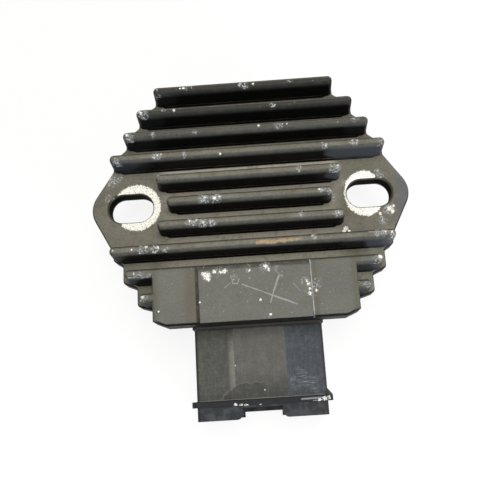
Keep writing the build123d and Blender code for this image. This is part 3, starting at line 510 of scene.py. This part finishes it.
# Its film and wear; bands, fades, pushes and tears are as for the casting's paint
housing = {
    "plastic": "#252627", "film": "#4b4b47", "panelFilm": "#5c5b56", "panelLow": "#3c3c39",
    "bevelFilm": "#807f77", "speck": "#8e8d86", "coolLight": "#43474c", "tab": "#2e3033", "tabPale": "#414446",
    "rimTone": "#26282a", "rimLine": "#7b786e", "ledge": "#4a4841", "dragged": "#85857f",
    "clouded": "#74736c", "rubbedAndHighlit": "#a3a8ad", "chipped": "#d3d1c8",
    "broadLump": 6, "cloudLump": 2.2, "grainLump": 0.4, "fineLump": 0.26, "dragScale": (2.0, 0.12, 1.0),
    # film by region; the drift is the place along, swung by the broad noise
    "driftReach": 5.0, "panelFade": (-52.5, -42.5), "bevelDriftBand": (-48.5, -36.0, 4.0),
    "leftFade": (-mould["panelHalf"] - 0.1, -mould["panelHalf"] + 0.1),
    "bevelFade": (-mould["bevelOut"] - 0.3, -mould["panelHalf"] - 0.4),
    "rightFade": (mould["panelHalf"] - 0.1, mould["panelHalf"] + 0.3),
    "pastFade": (mould["rimFar"] - 0.1, mould["rimFar"] + 0.05, 1.0, 0.0),
    "tabsFade": (mould["rimNear"] - 0.1, mould["rimNear"] + 0.1, 1.0, 0.0), "tabPaleFade": (0.4, 0.65),
    "rimLineBand": (mould["rimFar"] - 0.02, mould["rimFar"] + 0.18, 0.06), "rimLineShare": 0.7,
    "ledgeFade": (1.0, 2.0), "lyingFade": (0.5, 0.97), "coverFade": (0.2, 0.7, 0.8, 1.0),
    "sideFade": (mould["sideHalf"] - 0.3, mould["sideHalf"] + 0.3, 1.0, 0.3),
    # tide marks: centre x, y, radius, strength; they fade out between the ends to the right of the centre,
    # and the inside and the line are measured from the radius
    "stains": [(-3.0, -58.0, 8.7, 0.7), (-12.0, -60.0, 8.0, 0.2)], "stainLevel": 0.2,
    "stainPush": (3.2, 1.2), "stainEnds": (1.5, 6.5), "stainInside": (-0.25, 0.05),
    "stainLine": (-0.05, 0.1, 0.12), "stainLineShare": 0.7,
    # noise laid over all of the film
    "dragFade": (0.45, 0.7, 0.0, 0.07), "cloudFade": (0.45, 0.7, 0.0, 0.16),
    "gritFade": (0.48, 0.68, 0.0, 0.32), "speckFade": (0.3, 0.46, 0.13, 0.0),
    # wear and a painted highlight: scuffs and chips are (x, y, z, radius), the rim's painted highlights are
    # (start, end, half width)
    "scuffs": [(9.4, -50.4, -0.2, 2.2), (11.4, -49.6, -0.2, 2.4), (13.4, -50.6, -0.2, 2.0),
               (10.6, -48.0, -0.2, 1.6), (14.6, -52.2, -0.2, 1.6)],
    "rimChips": [(-7.2, -55.2, 0.5, 0.6), (-5.7, -55.6, 0.5, 0.7), (-4.4, -55.7, 0.5, 0.7),
                 (-0.6, -55.6, 0.4, 0.4), (15.2, -55.3, 0.5, 0.6), (16.6, -55.0, 0.5, 0.8),
                 (17.9, -54.9, 0.4, 0.7), (18.5, -54.4, 0.3, 0.6), (-6.7, -45.0, 0.4, 0.26),
                 (0.9, -51.8, 0.4, 0.26)],
    "rimHighlight": [((10.5, -54.8, 0.5), (18.0, -54.7, 0.5), 0.3),
                ((13.5, -55.4, 0.4), (17.4, -55.3, 0.4), 0.22)],
    "slantAngle": 38, "slantScale": (0.5, 4.0, 1.0), "slantFade": (0.46, 0.66),
    "scuffTear": (1.8, 0.3, 0.5), "scuffGrainFade": (0.4, 0.6, 0.25, 1.0), "scuffShare": 0.46,
    "rimHighlightTear": (1.2, 0.3, 0.6), "rimHighlightShare": 0.55, "chipPush": (0.7, 0.3), "chipTear": (2.6, 0.34, 0.14),
    # surface; the depth is in millimetres
    "roughFade": (0.2, 0.8, 0.45, 0.6), "coverRough": 0.25, "grainHeight": 0.6, "depth": 0.035,
    "gloss": 0.12}


def readSocket(add, point):
    # what the film and the wear go by: places in millimetres, the upward tilt and the noises
    at = SimpleNamespace(point=point)
    at.across, at.along, at.level = add("SeparateXYZ", {}, point).node.outputs
    at.tiltUp = add("SeparateXYZ", {}, add("NewGeometry", {}).node.outputs["Normal"]).node.outputs[2]
    at.broad = add("TexNoise", {}, Vector=point, Scale=1 / housing["broadLump"], Detail=4.0)
    at.cloud = add("TexNoise", {}, Vector=point, Scale=1 / housing["cloudLump"], Detail=4.0, Roughness=0.6)
    at.grain = add("TexNoise", {}, Vector=point, Scale=1 / housing["grainLump"], Detail=3.0, Roughness=0.65)
    at.fine = add("TexNoise", {}, Vector=point, Scale=1 / housing["fineLump"], Detail=2.0)
    stretched = add("Mapping", {}, Vector=point, Scale=housing["dragScale"])
    at.drag = add("TexNoise", {}, Vector=stretched, Scale=1.0, Detail=3.0)
    return at


def panelFilm(add, at):
    # dust film on the raised panel and its left bevel, and painted cool light on the right side
    drift = add("Math", timesPlus, at.broad, housing["driftReach"], at.along)
    panel = add("Mix", colours, add("MapRange", smooth, drift, *housing["panelFade"]), housing["panelLow"],
                housing["panelFilm"])
    right = add("MapRange", smooth, at.across, *housing["leftFade"])
    film = add("Mix", colours, right, housing["film"], panel)
    bevel = add("MapRange", smooth, at.across, *housing["bevelFade"])
    bevel = add("Math", times, bevel, add("MapRange", smooth, at.across, *housing["leftFade"], 1.0, 0.0))
    bevel = add("Math", times, bevel, band(add, drift, *housing["bevelDriftBand"]))
    film = add("Mix", colours, bevel, film, housing["bevelFilm"])
    # painted light: the right side is tinted cool grey where the cool side light falls
    coolLitSide = add("MapRange", smooth, at.across, *housing["rightFade"])
    return add("Mix", colours, coolLitSide, film, housing["coolLight"])


def tideMarks(add, at, film):
    # darker inside and with a pale line at the edge, where muddy water dried
    ridge = pushedPoint(add, at.point, *housing["stainPush"])
    for x, y, radius, strength in housing["stains"]:
        near, far = (x + end for end in housing["stainEnds"])
        low, high = (radius + end for end in housing["stainInside"])
        lineLow, lineHigh, lineSoft = housing["stainLine"]
        away = add("VectorMath", apart, ridge, (x, y, housing["stainLevel"]))
        kept = add("MapRange", smooth, at.across, near, far, strength, 0.0)
        inside = add("Math", times, add("MapRange", smooth, away, low, high, 1.0, 0.0), kept)
        film = add("Mix", colours, inside, film, housing["panelLow"])
        edge = add("Math", times, band(add, away, radius + lineLow, radius + lineHigh, lineSoft), kept)
        edge = add("Math", times, edge, housing["stainLineShare"])
        film = add("Mix", colours, edge, film, housing["rimLine"])
    return film


def socketFilm(add, at):
    # the panel's film and tide marks under drag lines, clouds, grit and specks, then the rim and the tabs
    film = tideMarks(add, at, panelFilm(add, at))
    for noise, fade, tone in ((at.drag, "dragFade", "dragged"), (at.cloud, "cloudFade", "clouded"),
                              (at.grain, "gritFade", "plastic"), (at.grain, "speckFade", "speck")):
        film = add("Mix", colours, add("MapRange", smooth, noise, *housing[fade]), film, housing[tone])
    past = add("MapRange", smooth, at.along, *housing["pastFade"])
    film = add("Mix", colours, past, film, housing["rimTone"])
    tabs = add("MapRange", smooth, at.along, *housing["tabsFade"])
    mottled = add("Mix", colours, add("MapRange", smooth, at.cloud, *housing["tabPaleFade"]), housing["tab"],
                  housing["tabPale"])
    film = add("Mix", colours, tabs, film, mottled)
    line = band(add, at.along, *housing["rimLineBand"])
    film = add("Mix", colours, add("Math", times, line, housing["rimLineShare"]), film, housing["rimLine"])
    raised = add("MapRange", smooth, at.level, *housing["ledgeFade"])
    return add("Mix", colours, raised, film, housing["ledge"])


def rubSocket(add, at, tone):
    # short slanting strokes where fingers grip and a painted highlight line on the rim
    turn = (0, 0, math.radians(housing["slantAngle"]))
    slant = add("Mapping", {}, Vector=at.point, Rotation=turn, Scale=housing["slantScale"])
    slant = add("TexNoise", {}, Vector=slant, Scale=1.0, Detail=4.0)
    slant = add("MapRange", smooth, slant, *housing["slantFade"])
    scuffed = jagged(add, spots(add, at.point, housing["scuffs"]), at.cloud, *housing["scuffTear"])
    # painted highlight: a pale cool line along the rim's right part
    rimGlint = jagged(add, strokes(add, at.point, housing["rimHighlight"]), at.cloud, *housing["rimHighlightTear"])
    rimGlint = add("Math", times, rimGlint, housing["rimHighlightShare"])
    slant = add("Math", times, slant, add("MapRange", smooth, at.grain, *housing["scuffGrainFade"]))
    scuffed = add("Math", times, add("Math", times, scuffed, slant), housing["scuffShare"])
    rubbedAndHighlit = add("Math", times, add("Math", most, scuffed, rimGlint), at.lying)
    return add("Mix", colours, rubbedAndHighlit, tone, housing["rubbedAndHighlit"])


def makeSocketPlastic():
    # Glass-filled nylon, moulded black: dull low sheen with a fine spark texture, greyed by dust that dried
    # in tide marks, scuffed where fingers pull the plug, with a painted highlight along the rim and painted
    # cool light on its right side
    material, add, point = startMaterial("moulded nylon")
    at = readSocket(add, point)
    film = socketFilm(add, at)
    at.lying = add("MapRange", smooth, at.tiltUp, *housing["lyingFade"])
    edged = add("MapRange", smooth, add("Math", absolute, at.across), *housing["sideFade"])
    cover = add("Math", times, at.lying, edged)
    cover = add("Math", times, cover, add("MapRange", smooth, at.cloud, *housing["coverFade"]))
    tone = rubSocket(add, at, add("Mix", colours, cover, housing["plastic"], film))
    chipped = spots(add, pushedPoint(add, at.point, *housing["chipPush"]), housing["rimChips"])
    chipped = jagged(add, chipped, at.fine, *housing["chipTear"])
    tone = add("Mix", colours, chipped, tone, housing["chipped"])
    height = add("Math", less, add("Math", times, at.grain, housing["grainHeight"]), chipped)
    rough = add("MapRange", smooth, at.cloud, *housing["roughFade"])
    rough = add("Math", timesPlus, cover, housing["coverRough"], rough)
    finishMaterial(add, {"Specular_IOR_Level": housing["gloss"]}, height, housing["depth"], Base_Color=tone,
                   Roughness=rough)
    return material


# The plain materials: tones, lumps and depths in millimetres, scales of drawn-out noise, and fades as above
brass = {"pale": "#d9d6cd", "dull": "#b3afa3", "dullLump": 1.6, "lineScale": (6.0, 0.25, 6.0),
         "dullFade": (0.4, 0.7), "roughFade": (0.3, 0.7, 0.24, 0.36), "lineRough": 0.12, "depth": 0.01}


def makeTinnedBrass():
    # Brass strip, tin plated: pale soft metal with fine draw lines along each blade and duller patches
    material, add, point = startMaterial("tinned brass")
    stretched = add("Mapping", {}, Vector=point, Scale=brass["lineScale"])
    lines = add("TexNoise", {}, Vector=stretched, Scale=1.0, Detail=4.0, Roughness=0.6)
    dull = add("TexNoise", {}, Vector=point, Scale=1 / brass["dullLump"], Detail=3.0)
    tone = add("MapRange", smooth, dull, *brass["dullFade"])
    tone = add("Mix", colours, tone, brass["pale"], brass["dull"])
    rough = add("MapRange", smooth, dull, *brass["roughFade"])
    rough = add("Math", timesPlus, lines, brass["lineRough"], rough)
    finishMaterial(add, {"Metallic": 1.0}, lines, brass["depth"], Base_Color=tone, Roughness=rough)
    return material


resin = {"skin": "#262729", "dusty": "#3b3b39", "dust": "#55534c",
         "waveLump": 14, "filmLump": 3, "grainLump": 0.5, "filmFade": (0.4, 0.75),
         "dustFade": (0.6, 0.75, 0.0, 0.35), "roughFade": (0.3, 0.8, 0.32, 0.5), "grainHeight": 0.03,
         "depth": 0.5, "gloss": 0.45}


def makeResin():
    # Poured polyurethane, cured dark grey: smooth low gloss skin with slow waves and a little dust
    material, add, point = startMaterial("potting polyurethane")
    waves = add("TexNoise", {}, Vector=point, Scale=1 / resin["waveLump"], Detail=2.0, Roughness=0.4)
    film = add("TexNoise", {}, Vector=point, Scale=1 / resin["filmLump"], Detail=4.0, Roughness=0.6)
    grain = add("TexNoise", {}, Vector=point, Scale=1 / resin["grainLump"], Detail=2.0)
    tone = add("MapRange", smooth, film, *resin["filmFade"])
    tone = add("Mix", colours, tone, resin["skin"], resin["dusty"])
    tone = add("Mix", colours, add("MapRange", smooth, grain, *resin["dustFade"]), tone, resin["dust"])
    height = add("Math", timesPlus, grain, resin["grainHeight"], waves)
    rough = add("MapRange", smooth, film, *resin["roughFade"])
    finishMaterial(add, {"Specular_IOR_Level": resin["gloss"]}, height, resin["depth"], Base_Color=tone,
                   Roughness=rough)
    return material


powerPlate = {"bright": "#c9cac9", "grey": "#aeb0b0", "lineScale": (5.0, 0.2, 5.0), "toneFade": (0.35, 0.65),
              "roughFade": (0.3, 0.7, 0.34, 0.48), "depth": 0.01}


def makePowerPlate():
    # Aluminium-backed insulating plate: dull silver, rolled, with faint grain along its length
    material, add, point = startMaterial("rolled aluminium plate")
    stretched = add("Mapping", {}, Vector=point, Scale=powerPlate["lineScale"])
    lines = add("TexNoise", {}, Vector=stretched, Scale=1.0, Detail=4.0)
    tone = add("MapRange", smooth, lines, *powerPlate["toneFade"])
    tone = add("Mix", colours, tone, powerPlate["bright"], powerPlate["grey"])
    rough = add("MapRange", smooth, lines, *powerPlate["roughFade"])
    finishMaterial(add, {"Metallic": 1.0}, lines, powerPlate["depth"], Base_Color=tone, Roughness=rough)
    return material


copper = {"bright": "#c98a62", "dark": "#9c6040", "heatLump": 1.5, "heatFade": (0.4, 0.7),
          "roughFade": (0.3, 0.7, 0.25, 0.42), "depth": 0.01}


def makeCopper():
    # Stamped copper: warm bright metal, a little darkened by heat in patches
    material, add, point = startMaterial("stamped copper")
    heat = add("TexNoise", {}, Vector=point, Scale=1 / copper["heatLump"], Detail=3.0)
    tone = add("MapRange", smooth, heat, *copper["heatFade"])
    tone = add("Mix", colours, tone, copper["bright"], copper["dark"])
    rough = add("MapRange", smooth, heat, *copper["roughFade"])
    finishMaterial(add, {"Metallic": 1.0}, heat, copper["depth"], Base_Color=tone, Roughness=rough)
    return material


board = {"mask": "#1f5a34", "maskPale": "#2a6c41", "weaveScale": 1.2, "weaveBend": 0.6,
         "weaveFade": (0.1, 0.9), "roughness": 0.3, "depth": 0.01}


def makeBoard():
    # Glass and epoxy board under green solder mask: glossy, with the weave just showing through
    material, add, point = startMaterial("solder mask")
    threads = [add("TexWave", {"bands_direction": way}, Vector=point, Scale=board["weaveScale"],
                   Distortion=board["weaveBend"]).node.outputs["Fac"] for way in ("X", "Y")]
    weave = add("Math", times, *threads)
    tone = add("MapRange", smooth, weave, *board["weaveFade"])
    tone = add("Mix", colours, tone, board["mask"], board["maskPale"])
    finishMaterial(add, {"Roughness": board["roughness"]}, weave, board["depth"], Base_Color=tone)
    return material


chip = {"black": "#232323", "grey": "#303030", "gritLump": 0.2, "gritFade": (0.4, 0.7),
        "roughFade": (0.3, 0.7, 0.55, 0.75), "depth": 0.02}


def makeChipPlastic():
    # Transfer-moulded epoxy: near black, matt, with the mould's fine grit
    material, add, point = startMaterial("moulded epoxy")
    grit = add("TexNoise", {}, Vector=point, Scale=1 / chip["gritLump"], Detail=3.0, Roughness=0.7)
    tone = add("Mix", colours, add("MapRange", smooth, grit, *chip["gritFade"]), chip["black"], chip["grey"])
    rough = add("MapRange", smooth, grit, *chip["roughFade"])
    finishMaterial(add, {}, grit, chip["depth"], Base_Color=tone, Roughness=rough)
    return material


def dressNodes():
    made = {"cast_aluminium": makeCastingPaint(), "socket_plastic": makeSocketPlastic(),
            "resin": makeResin(), "tinned_brass": makeTinnedBrass(), "substrate_plate": makePowerPlate(),
            "copper": makeCopper(), "board": makeBoard(), "chip_plastic": makeChipPlastic()}
    slotOf = {part["node"]: part["material_slot"] for part in frame["record"]["subparts"]}
    for name, obj in nodes.items():
        obj.data.materials.clear()
        obj.data.materials.append(made[slotOf[name]])


dressNodes()
print("materials on", len(nodes), "nodes")

# Camera: above the socket's end, turned and tipped as in the photograph; lengths in millimetres, angles in
# degrees, and the focal length and the image's side in pixels
view = {"place": (2.204, -52.628, 165.424), "tip": 13.452, "lean": 1.035, "turn": -3.778,
        "focal": 600.0, "imageSide": 500.0, "sensor": 36.0, "clipStart": 5.0}


def makeCamera():
    lens = bpy.data.cameras.new("camera")
    lens.sensor_width = view["sensor"]
    lens.lens = view["sensor"] * view["focal"] / view["imageSide"]
    lens.clip_start = view["clipStart"] * mm
    camera = bpy.data.objects.new("camera", lens)
    tip = Euler((math.radians(view["tip"]), 0, 0)).to_matrix()
    lean = Euler((0, math.radians(view["lean"]), 0)).to_matrix()
    turn = Euler((0, 0, math.radians(view["turn"]))).to_matrix()
    camera.matrix_world = (tip @ lean @ turn).to_4x4()
    camera.location = Vector(view["place"]) * mm
    bpy.context.scene.collection.objects.link(camera)
    bpy.context.scene.camera = camera


makeCamera()
print("camera placed")

# Studio in metres: a broad key overhead and a little behind, a low cool side light, and a dome dim in front
studio = {
    "lamps": {
        "key": {"aim": (0.06, 0.1, 0.99), "away": 0.9, "across": 0.44, "power": 7.0,
                "colour": (1.0, 0.99, 0.965)},
        "side": {"aim": (0.62, -0.74, 0.25), "away": 1.1, "across": 0.2, "power": 10.0,
                 "colour": (0.92, 0.96, 1.0)}},
    "domeTop": 0.45, "domeBack": 0.36, "domeFront": 0.04, "topFade": (0.25, 0.95), "backFade": (-0.9, 0.9),
    "floorSide": 3.0, "floorColour": "#efefec", "shadowKept": 0.12}


def makeLamp(name, aim, away, across, power, colour):
    lamp = bpy.data.lights.new(name, "AREA")
    lamp.shape = "DISK"
    lamp.size = across
    lamp.energy = power
    lamp.color = colour
    obj = bpy.data.objects.new(name, lamp)
    direction = Vector(aim).normalized()
    obj.location = direction * away
    obj.rotation_euler = direction.to_track_quat("Z", "Y").to_euler()
    bpy.context.scene.collection.objects.link(obj)


def seenDirectly(add):
    # one for the rays that should meet the plain white background: the camera's and those in gloss and glass
    rays = add("LightPath", {}).node.outputs
    seen = add("Math", most, rays["Is Camera Ray"], rays["Is Glossy Ray"])
    return add("Math", most, seen, rays["Is Transmission Ray"])


def makeWorld():
    world = bpy.data.worlds.new("studio")
    add = startTree(world)
    toBack, toTop = add("SeparateXYZ", {}, add("TexCoord", {}).node.outputs["Generated"]).node.outputs[1:]
    sides = add("MapRange", smooth, toBack, *studio["backFade"], studio["domeFront"], studio["domeBack"])
    dome = add("Mix", numbers, add("MapRange", smooth, toTop, *studio["topFade"]), sides, studio["domeTop"])
    strength = add("Mix", numbers, seenDirectly(add), dome, 1.0)
    add("OutputWorld", {}, Surface=add("Background", {}, Color=(1, 1, 1, 1), Strength=strength))
    bpy.context.scene.world = world


def makeFloor():
    # plain pale floor: the camera sees it near white, with part of the object's shadow kept
    low, side = cadBox[0][2], studio["floorSide"]
    corners = [(-side, -side, low), (side, -side, low), (side, side, low), (-side, side, low)]
    mesh = bpy.data.meshes.new("floor")
    mesh.from_pydata(corners, [], [(0, 1, 2, 3)])
    floor = bpy.data.objects.new("floor", mesh)
    bpy.context.scene.collection.objects.link(floor)
    material = bpy.data.materials.new("floor")
    add = startTree(material)
    plain = add("BsdfDiffuse", {}, Color=studio["floorColour"])
    white = add("Emission", {}, Color=(1, 1, 1, 1), Strength=1.0)
    seen = add("Math", times, seenDirectly(add), 1 - studio["shadowKept"])
    add("OutputMaterial", {}, Surface=add("MixShader", {}, seen, plain, white))
    mesh.materials.append(material)


for name, lamp in studio["lamps"].items():
    makeLamp(name, **lamp)
makeWorld()
makeFloor()
print("studio lit")

bpy.context.scene.view_settings.view_transform = "Standard"
